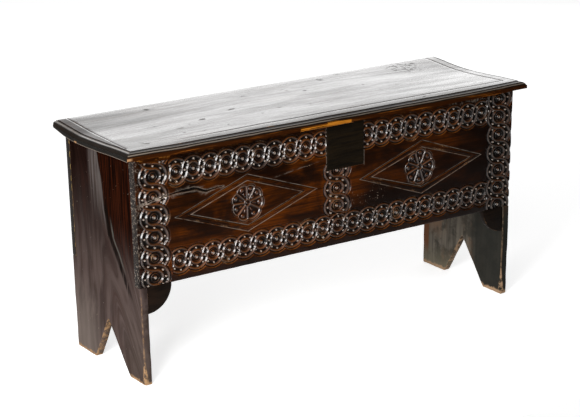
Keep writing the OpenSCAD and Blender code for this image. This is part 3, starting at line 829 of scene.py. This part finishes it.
def makeLid():
    edge = [0, 0.3, 0.8, 1.25, 1.7, 2.3, 3.2, 4.3, 5.1, 5.6, 6, 6.4, 6.9, 8, 9.5, 11, 13, 15, 15.15, 15.5,
            16, 16.5, 17, 17.5, 17.85, 18, 18.3, 22, 28, 34, 38.2, 38.7, 39.2, 39.6, 40, 40.5, 41]   # rows
    long, deep = (lidHigh.x - lidLow.x) / mm, (lidHigh.y - lidLow.y) / mm
    xs = np.concatenate([edge, np.linspace(47, long - 47, 79), long - np.array(edge[::-1])])
    ys = np.concatenate([edge, np.linspace(47, deep - 2, 32), [deep - 0.6, deep]])
    lid = addGrid("lidBoard", len(xs) - 1, len(ys) - 1)
    co = points(lid)
    x = xs[np.round((co[:, 0] + 0.5) * (len(xs) - 1)).astype(int)]
    y = ys[np.round((co[:, 1] + 0.5) * (len(ys) - 1)).astype(int)]
    d = np.minimum(np.minimum(x, long - x), y)
    height = lidProfile(d, np.where(y > x, 1.0, smooth(90, 260, x)))
    height = height - 0.8 * np.clip(1 - (deep - y) / 0.8, 0, 1)
    movePoints(lid, np.column_stack([lidLow.x + x * mm, lidLow.y + y * mm, lidHigh.z + height * mm]))
    startEdit(lid)
    bpy.ops.mesh.extrude_region_move(TRANSFORM_OT_translate={"value": (0, 0, -1)})
    endEdit()
    co = points(lid)
    co[co[:, 2] < lidHigh.z - 0.5, 2] = lidLow.z
    movePoints(lid, co)
    faceOutward()
    co = points(lid)
    x, y = co[:, 0] / mm, co[:, 1] / mm
    level = (co[:, 2] - lidLow.z) / mm
    markPoints(lid, "level", level)
    inward = x - lidLow.x / mm
    askewBy = lidCut["line"] - lidCut["lineFront"]   # the scratched line runs askew on the left end
    askew = np.interp(inward, [18.3, 38.2, 41, 90], [0, 1, 1, 0]) * (inward < 90)
    co[:, 0] -= askewBy * (1 - smooth(-165, 60, y)) * askew * mm
    worn = lidCut["backWear"] * np.clip(1 - level / lidCut["drop"], 0, 1)
    co[:, 2] += worn * mm * smooth(90, 165, y) * smooth(-495, -523, x)
    co[:, 2] += cupSag(co[:, 1]) * smooth(150, 500, np.abs(x))
    co[:, 2] -= lidCut["droop"] * mm * smooth(-132, -158, y) * smooth(500, 380, np.abs(x))
    corner = np.hypot(np.clip(-511 - x, 0, None), np.clip(y - 151, 0, None))
    corner = np.clip(corner - lidCut["cornerRound"], 0, None) * mm
    co[:, 0] += 0.7 * corner
    co[:, 1] -= 0.7 * corner
    co[:, 2] += (0.35 * waver(x, y * 2, 90, 31) + 0.15 * waver(x, y * 2, 35, 32)) * mm
    co[:, 0] += np.where(np.abs(x) > 500, 0.5 * waver(y, x * 0, 22, 33) * mm, 0)
    co[:, 1] += np.where(y < -140, 0.4 * waver(x, y * 0, 28, 34) * mm, 0)
    movePoints(lid, co)
    smoothLook(lid, 35)
    return lid


lid = makeLid()


def lidFinish():   # worn lines on the moulding, and a painted highlight band on the left end's moulding; bare orange wood on the front edge, polish on top
    look = {"paleWearAndHighlight": (0.15, 0.122, 0.098), "brown": (0.024, 0.0065, 0.0015), "orange": (0.20, 0.060, 0.007),
            "bright": (0.42, 0.15, 0.014), "chip": (0.30, 0.165, 0.08), "black": (0.004, 0.003, 0.002)}
    knots = [((-0.310, 0.129, 0.513), 0.012), ((-0.363, 0.005, 0.513), 0.009), ((0.065, 0.065, 0.513), 0.008),
             ((0.152, 0.128, 0.513), 0.012)]
    material, shader, colour, coords = agedOak("lidOak", knots, warmth=0.3, seed=4.1, rough=0.3, coat=1.0,
                                               coatRough=0.1, specular=0.025, wear=0.1)
    x, y, _ = axes(coords)
    faceX, faceY, faceZ = axes(given(coords, "TexCoord", "Normal"))
    fromFront = scaled(y, 1 / mm, -lidLow.y / mm)   # millimetres, and so are d and level
    fromEnd = scaled(sizeOf(x), -1 / mm, lidHigh.x / mm)
    d = maths("MINIMUM", fromFront, fromEnd)
    level = marked(coords, "level")
    uneven = noiseAt(stretched(coords, 0, 1.0, 3.0), 14.0, 4.0, 0.6)
    streak = noiseAt(stretched(coords, 0, 6.0, 260.0), 1.0, 5.0, 0.65)
    fine = noiseAt(stretched(coords, 0, 5.0, 150.0), 1.0, 5.0, 0.7)
    dry = noiseAt(stretched(coords, 0, 1.0, 7.0, (3, 1, 0)), 3.5, 5.0, 0.62)
    side = spread(level, 9.2, 8.0)
    fore = times(side, spread(faceY, -0.4, -0.8))
    leftEnd = times(spread(maths("SUBTRACT", fromFront, fromEnd), -1.0, 1.0), spread(x, -0.3, -0.4))
    lines = times(most(window(d, 8.0, 9.4, 0.5), window(d, 3.0, 4.6, 0.5)), maths("SUBTRACT", 1.0, leftEnd))
    # painted highlight: a pale band along the left end's moulding, where its rounded top would mirror the
    # bright surround
    lines = most(lines, times(leftEnd, window(d, 9.5, 13.0, 2.0)))
    cove = maths("SUBTRACT", scaled(spread(y, -0.165, 0.06), 20.0, 16.0), fromEnd)
    cove = times(spread(cove, 0.0, 2.0), leftEnd, spread(d, 14.0, 16.0))
    bare = times(window(x, -0.104, -0.03, 0.002), spread(level, 5.2, 4.4))
    bare = most(window(x, -0.034, 0.028, 0.002), bare)
    colour = layered(
        colour,
        (look["black"], spread(d, 15.6, 15.0), 0.8),
        (look["paleWearAndHighlight"], lines, spread(uneven, 0.25, 0.55, 0.45, 1.0)),
        (look["black"], side, leftEnd),
        (look["brown"], fore),
        (look["orange"], fore, spread(streak, 0.54, 0.68)),
        (look["bright"], fore, bare, spread(streak, 0.42, 0.54)),
        (look["chip"], fore, spread(x, -0.510, -0.519), window(level, 1.5, 6.5, 1.0)),
        # pale lower arris facing left: partly wear, partly a painted highlight
        (look["paleWearAndHighlight"], spread(level, 1.3, 0.5), spread(faceX, -0.15, -0.45), spread(uneven, 0.2, 0.45)),
        (look["chip"], window(y, 0.050, 0.060, 0.002), spread(level, 4.5, 2.0), leftEnd),
    )
    colour = insideDry(colour, coords, 0, "Z", -1, (0.080, 0.055, 0.036))

    marks = [spread(noiseAt(stretched(coords, 0, 0.6, 1.0), 38.0, 3.0, 0.6), 0.68, 0.74)]
    for middle, size in knots:
        away = scaled(fine, 0.6 * size, vectors("DISTANCE", coords, middle))
        marks.append(spread(away, 1.1 * size, 0.5 * size))
    split = maths("ADD", scaled(x, 0.2, 0.0642), y)
    marks.append(times(spread(sizeOf(split), 0.0016, 0.0005), window(x, 0.226, 0.290, 0.008)))
    worn = vectors("DISTANCE", coords, (0.384, 0.120, 0.511))
    marks.append(times(spread(worn, 0.055, 0.030), spread(noiseAt(coords, 90.0, 3.0, 0.6), 0.52, 0.60)))
    polish = scaled(spread(dry, 0.62, 0.38), 0.30, 0.66)
    polish = scaled(spread(x, -0.15, -0.5), -0.12, polish)
    polish = scaled(spread(fine, 0.35, 0.65), 0.24, polish)
    polish = times(polish, scaled(most(*marks), -0.8, 1.0), scaled(cove, -0.75, 1.0),
                   spread(faceZ, 0.75, 0.97))
    feed(shader, {"Base Color": colour, "Coat Weight": polish})
    return material


finishPiece(lid, "lid", "lid_oak", lidFinish(), "lid_board")
print("lid made")


# The two ends, with their feet

def vWedge(side):
    frontY = frontLow.y + coffer["frontFoot"]
    backY = backHigh.y - coffer["backFoot"]
    topY, topZ = frontLow.y + coffer["vTop"][0], coffer["vTop"][1]
    wedge = block("vCutter", (-0.03, frontY, -0.02), (0.03, backY, topZ))
    co = points(wedge)
    high = co[:, 2] > 0.05
    co[high, 1] = np.where(co[high, 1] > (frontY + backY) / 2, topY + 0.0015, topY - 0.0015)
    slopeFront, slopeBack = (topY - frontY) / topZ, (backY - topY) / topZ
    co[~high, 1] = np.where(co[~high, 1] < (frontY + backY) / 2, frontY - 0.02 * slopeFront,
                            backY + 0.02 * slopeBack)
    co[:, 0] += side * 0.49
    movePoints(wedge, co)
    return wedge


def makeEnd(name, side):
    outer, past = abs(leftLow.x), 0.01   # the cutters reach past the plank
    low = min(side * outer, side * (outer - coffer["endThick"]))
    plank = block(name, (low, frontLow.y, 0), (low + coffer["endThick"], backHigh.y, rimZ))
    for notch, start, end, under in (("frontNotch", frontLow.y - past, frontHigh.y, frontLow.z),
                                     ("backNotch", backLow.y, backHigh.y + past, backLow.z)):
        cutAway(plank, block(notch, (-0.52, start, under), (0.52, end, rimZ + past)))
    cutAway(plank, vWedge(side))
    bevel(plank, 1.6, angle=35)
    gap = coffer["rows"]
    addCuts(plank, 2, gap, rimZ - 0.002, gap)
    addCuts(plank, 1, frontLow.y + gap, backHigh.y - 0.002, gap)
    co = points(plank)
    x, y, z = co.T
    seed = 50 if side < 0 else 60
    wander = (0.35 + 0.9 * smooth(0.2, 0.0, z)) * mm
    co[:, 1] = (y + wander * waver(z / mm, x / mm * 3, 24, seed)
                + 0.5 * mm * waver(z / mm, y / mm, 70, seed + 1))
    co[:, 0] = x + 0.45 * mm * waver(y / mm, z / mm * 0.5, 40, seed + 2)
    sag = np.where(z > rimZ - 0.004, cupSag(y), 0)
    worn = np.where(z < 0.004, 0.8 * mm * (waver(y / mm, x / mm, 9, seed + 3) + 1), 0)
    co[:, 2] = np.maximum(z + sag + worn, 0)
    co[:, 0] = leanIn(co[:, 0], co[:, 2])
    movePoints(plank, co)
    smoothLook(plank, 35)
    return plank


def footWear(colour, coords, tan, low, corner):   # bare wood in the V, on the soles and the lowest edges
    x, y, z = axes(coords)
    facing = axes(given(coords, "NewGeometry", "True Normal"))["Z"]
    spots = noiseAt(coords, 95.0, 5.0, 0.7)
    bare = times(spread(facing, -0.12, -0.24), spread(z, 0.125, 0.115), spread(spots, 0.44, 0.58, 0.12, 1.0))
    sole = spread(scaled(spots, -0.020, z), low, low - 0.006)
    upright = maths("ADD", sizeOf(x), scaled(z, -lean, lean * rimZ - corner))
    offset = {"X": upright, "Y": maths("ADD", y, -frontLow.y)}
    away = vectors("LENGTH", addNode(treeOf(x), "CombineXYZ", offset).outputs[0])
    away = maths("SUBTRACT", away, spread(z, 0.06, 0.0, 0.0026, 0.009))
    line = times(spread(away, 0.0008, -0.0008), spread(z, 0.22, 0.17), spread(spots, 0.38, 0.56),
                 spread(z, 0.09, 0.03, 0.3, 1.0))
    return tint(colour, tan, most(bare, sole, line))


def leftEndFinish():   # grain that sweeps down to the front, a grey streak, dark red-brown beside it
    material, shader, colour, coords = agedOak(
        "endOak", axis=2, warmth=0.35, seed=7.7, rough=0.42, specular=0.0, wear=0.4, grainBump=0.2, sweep=0.5,
        bloom=(0.08, 0.46), bloomTone=(0.078, 0.057, 0.051),
        deep=(0.0035, 0.0016, 0.0012), body=(0.014, 0.0065, 0.005), warm=(0.034, 0.0105, 0.006),
        knots=[((-0.495, -0.078, 0.222), 0.011), ((-0.495, 0.030, 0.217), 0.006),
               ((-0.5, -0.018, 0.335), 0.009)])
    _, y, z = axes(coords)
    line = maths("MINIMUM", scaled(z, 0.64, -0.2134), scaled(z, 0.187, -0.0773))
    line = scaled(noiseAt(coords, 9.0, 3.0, 0.5), -0.016, maths("ADD", line, 0.008))
    s = maths("SUBTRACT", y, line)   # distance from the sweeping line, towards the back
    grain = noiseAt(stretched(coords, 2, 2.0, 90.0), 3.0, 5.0, 0.6)
    red = tint((0.0025, 0.0010, 0.0007), (0.022, 0.0050, 0.0018), spread(grain, 0.42, 0.62))
    streak = times(spread(s, -0.003, 0.002), spread(y, 0.058, 0.035), spread(z, 0.30, 0.44),
                   spread(grain, 0.30, 0.62, 0.15, 1.0))
    rim = times(window(s, 0.0, 0.007, 0.002), spread(z, 0.29, 0.36, 0.0, 0.7))
    low = spread(z, 0.20, 0.03)
    colour = layered(
        colour,
        (red, spread(s, 0.002, -0.010), spread(z, 0.19, 0.36), 0.95),
        ((0.100, 0.086, 0.080), most(streak, rim), 0.75),
        ((0.003, 0.0025, 0.002), window(s, -0.016, 0.0, 0.004), window(z, 0.19, 0.37, 0.02),
         spread(grain, 0.35, 0.5), 0.9),
        ((0.085, 0.085, 0.075), window(s, -0.024, -0.019, 0.002), window(z, 0.24, 0.33, 0.02), 0.6),
        ((0.18, 0.148, 0.128), spread(y, 0.01, 0.10), low, 0.45),
        ((0.052, 0.040, 0.033), spread(y, -0.03, -0.12), low, 0.45),
        ((0.25, 0.21, 0.17), spread(noiseAt(coords, 300.0, 1.0, 0.5), 0.79, 0.81)),   # specks
    )
    colour = footWear(colour, coords, (0.29, 0.175, 0.09), -0.001, 0.5)
    feed(shader, {"Base Color": insideDry(colour, coords, 2, "X", 1, (0.06, 0.05, 0.04))})
    return material


def rightEndFinish():   # dry and blotched, dark on the front leg
    material, shader, colour, coords = agedOak("rightEndOak", axis=2, warmth=0.4, seed=9.2, rough=0.55,
                                               specular=0.08, wear=0.6)
    _, y, z = axes(coords)
    blot = noiseAt(coords, 24.0, 5.0, 0.65)
    patches = noiseAt(stretched(coords, 2, 1.0, 2.5), 22.0, 4.0, 0.6)
    colour = layered(
        insideDry(colour, coords, 2, "X", -1, (0.125, 0.107, 0.084)),
        ((0.022, 0.019, 0.014), spread(blot, 0.46, 0.62, 0.0, 0.75)),
        ((0.13, 0.115, 0.08), spread(z, 0.07, 0.0), spread(y, 0.0, 0.05), 0.7),
        ((0.008, 0.008, 0.006), spread(y, -0.015, -0.055), spread(z, 0.23, 0.17), 0.93),
        ((0.20, 0.10, 0.050), spread(y, 0.045, 0.10), window(z, 0.11, 0.25, 0.04),
         spread(patches, 0.36, 0.48), 0.85),
        ((0.11, 0.033, 0.008), spread(y, 0.127, 0.130), spread(z, 0.02, 0.06), 0.8),
    )
    feed(shader, {"Base Color": footWear(colour, coords, (0.32, 0.205, 0.12), 0.002, 0.483)})
    return material


for name, side, node, finish in (("leftEnd", -1, "left_end_board", leftEndFinish),
                                 ("rightEnd", 1, "right_end_board", rightEndFinish)):
    finishPiece(makeEnd(name, side), "carcase", "end_oak", finish(), node)
print("ends made")


# The back, the bottom, the brackets and the two repairs

def makeBack():
    plank = block("backBoard", backLow, backHigh)
    bevel(plank, 1.2)
    addCuts(plank, 0, backLow.x + 0.02, backHigh.x, 0.02)
    addCuts(plank, 2, backLow.z + 0.02, backHigh.z, 0.02)
    co = points(plank)
    x, y, z = co.T
    co[:, 1] = y + 0.5 * mm * waver(x / mm, z / mm, 60, 81) * (y < backHigh.y - 1e-4)
    co[:, 2] = z + np.where(z > backHigh.z - 0.002, cupSag(y) * smooth(0.15, 0.5, np.abs(x)), 0)
    co[:, 0] = leanIn(x, z)
    movePoints(plank, co)
    smoothLook(plank)
    return plank


def makeBracket(name, side):
    low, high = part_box("left_front_bracket" if side < 0 else "right_front_bracket")
    corner = low.x if side < 0 else high.x
    bpy.ops.mesh.primitive_cylinder_add(vertices=96, radius=coffer["bracketRadius"],
                                        depth=coffer["bracketThick"], rotation=(math.radians(90), 0, 0),
                                        location=(corner, (low.y + high.y) / 2, high.z))
    piece = named(name)
    settle(piece)
    startEdit(piece)
    for place, normal in (((0, 0, high.z), (0, 0, 1)), ((corner, 0, high.z), (side, 0, side * lean))):
        bpy.ops.mesh.select_all(action="SELECT")
        bpy.ops.mesh.bisect(plane_co=place, plane_no=normal, use_fill=True, clear_outer=True)
    endEdit()
    bevel(piece, 1.0, angle=35)
    smoothLook(piece)
    return piece


def makePatch():
    patch = block("lockPatch", patchLow, patchHigh)
    cutAway(patch, block("slipSeat", (slipLow.x - 0.01, patchLow.y - 0.01, slipLow.z),
                         (slipHigh.x + 0.0001, slipHigh.y, patchHigh.z + 0.01)))
    bevel(patch, 0.4, segments=1)
    addCuts(patch, 2, patchLow.z + 0.0015, patchHigh.z, 0.0015)
    addCuts(patch, 0, patchLow.x + 0.006, patchHigh.x, 0.006)
    co = points(patch)
    x, y, z = co.T
    saw = 0.22 * waver(z / mm, x / mm * 0.04, 1.6, 91) + 0.2 * waver(x / mm, z / mm * 4, 30, 92) + 0.35
    co[:, 1] = y + np.where(y < patchLow.y + 0.001, saw * mm, 0)
    movePoints(patch, co)
    smoothLook(patch, 60)
    return patch


def makePlain(name, low, high, width):
    piece = block(name, low, high)
    bevel(piece, width)
    smoothLook(piece)
    return piece


def backFinish():   # dark end grain with pale chips along the joint
    material, shader, colour, coords = agedOak("backOak", warmth=0.3, seed=3.3, rough=0.6, specular=0.1,
                                               wear=0.4)
    sideways = endGrain(coords)
    chips = noiseAt(stretched(coords, 2, 0.5, 1.0), 240.0, 3.0, 0.6)
    colour = layered(
        colour,
        ((0.004, 0.003, 0.0025), sideways, 0.9),
        ((0.36, 0.23, 0.06), spread(axes(coords)["Y"], 0.1345, 0.1315), spread(chips, 0.50, 0.58), sideways),
    )
    feed(shader, {"Base Color": insideDry(colour, coords, 0, "Y", -1, dryTone)})
    return material


backOak = backFinish()
bottomOak = agedOak("bottomOak", warmth=0.2, seed=5.5, rough=0.75, specular=0.2, wear=0.2,
                    deep=(0.03, 0.02, 0.012), body=(0.10, 0.068, 0.042), warm=(0.15, 0.10, 0.06))[0]
bracketOak = agedOak("bracketOak", warmth=0.2, seed=6.5, rough=0.5, specular=0.03, wear=0.45,
                     deep=(0.003, 0.002, 0.0015), body=(0.010, 0.006, 0.004), warm=(0.022, 0.010, 0.005))[0]
patchOak = agedOak("patchOak", warmth=0.1, seed=8.5, rough=0.6, wear=0.0, specular=0.05, grainBump=0.2,
                   deep=(0.0015, 0.001, 0.0006), body=(0.012, 0.0075, 0.003), warm=(0.028, 0.014, 0.005))[0]
slipOak = agedOak("slipOak", warmth=0.8, seed=2.5, rough=0.5, wear=0.0, specular=0.2,
                  deep=(0.025, 0.007, 0.001), body=(0.19, 0.060, 0.006), warm=(0.50, 0.18, 0.018))[0]

finishPiece(makeBack(), "carcase", "back_oak", backOak, "back_board")
for name, side, node in (("leftBracket", -1, "left_front_bracket"),
                         ("rightBracket", 1, "right_front_bracket")):
    finishPiece(makeBracket(name, side), "carcase", "bracket_oak", bracketOak, node)
finishPiece(makePatch(), "carcase", "patch_oak", patchOak, "lock_patch")
slip = makePlain("rimSlip", slipLow, slipHigh, 0.6)
finishPiece(slip, "carcase", "slip_oak", slipOak, "rim_slip")
bottom = makePlain("bottomBoard", bottomLow, bottomHigh, 1.0)
finishPiece(bottom, "carcase", "bottom_oak", bottomOak, "bottom_board")
iron = forgedIron()
for name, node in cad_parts.items():
    if name.endswith("_loop") or name.endswith("_nails"):
        node.data.materials.clear()
        node.data.materials.append(iron)
print("carcase made")


# Studio: a pale floor, a bright surround and three soft lamps

studio = {
    "floorFront": -0.72, "floorBack": 6.0, "floorSide": 6.0, "floorTone": 0.6,
    "floorSeen": (0.66, 0.75),   # its own light and its tone, for the camera and in mirrors
    "surround": 0.35,      # brightness behind, above and to the left
    "frontDark": 0.01,     # brightness in front, to the right
    "darkest": (0.53, -0.79, -0.1),
    "fade": (0.05, 0.75),
    "aim": (0, 0, 0.3),
    "key": {"place": (-2.0, -1.35, 0.9), "size": (0.9, 1.4), "watts": 92},
    "back": {"place": (2.2, 2.6, 1.5), "size": (3.6, 1.9), "watts": 24},
    "fill": {"place": (-1.2, -2.0, 2.5), "size": (2.0, 1.4), "watts": 20},
}


def makeFloor():
    bpy.ops.mesh.primitive_plane_add(size=1)
    floor = named("floor")
    co = points(floor)
    co[:, 0] = np.sign(co[:, 0]) * studio["floorSide"]
    co[:, 1] = np.where(co[:, 1] < 0, studio["floorFront"], studio["floorBack"])
    movePoints(floor, co)
    material = bpy.data.materials.new("paleFloor")
    tree = emptyTree(material)
    glow, seen = studio["floorSeen"]
    matt = addNode(tree, "BsdfDiffuse", {"Color": [studio["floorTone"]] * 3}).outputs[0]
    white = addNode(tree, "Emission", {"Color": (1, 1, 1), "Strength": glow}).outputs[0]
    faint = addNode(tree, "BsdfDiffuse", {"Color": [seen] * 3}).outputs[0]
    both = addNode(tree, "AddShader", {0: white, 1: faint}).outputs[0]
    path = addNode(tree, "LightPath").outputs
    shown = most(path["Is Glossy Ray"], path["Is Transmission Ray"], path["Is Camera Ray"])
    mixed = addNode(tree, "MixShader", {0: shown, 1: matt, 2: both}).outputs[0]
    addNode(tree, "OutputMaterial", {0: mixed})
    floor.data.materials.append(material)


def makeLamp(name):
    lamp = studio[name]
    bpy.ops.object.light_add(type="AREA", location=lamp["place"])
    made = bpy.context.active_object
    made.name = name + "Light"
    made.data.shape = "RECTANGLE"
    made.data.size, made.data.size_y = lamp["size"]
    made.data.energy = lamp["watts"]
    aim = Vector(studio["aim"]) - Vector(lamp["place"])
    made.rotation_euler = aim.to_track_quat("-Z", "Y").to_euler()
    made.visible_camera = False


def makeSurround():
    world = bpy.data.worlds.new("surround")
    bpy.context.scene.world = world
    tree = emptyTree(world)
    direction = addNode(tree, "TexCoord").outputs["Generated"]
    towards = vectors("DOT_PRODUCT", direction, studio["darkest"])
    light, mirrored = (spread(towards, *studio["fade"], high, studio["frontDark"])
                       for high in (studio["surround"], 1.0))
    path = addNode(tree, "LightPath").outputs
    shown = most(path["Is Glossy Ray"], path["Is Transmission Ray"])
    strength = most(times(shown, mirrored), light, path["Is Camera Ray"])
    back = addNode(tree, "Background", {"Color": (1, 1, 1), "Strength": strength})
    addNode(tree, "OutputWorld", {0: back.outputs[0]})


makeFloor()
for name in ("key", "back", "fill"):
    makeLamp(name)
makeSurround()
bpy.context.scene.view_settings.view_transform = "Standard"
print("studio ready")
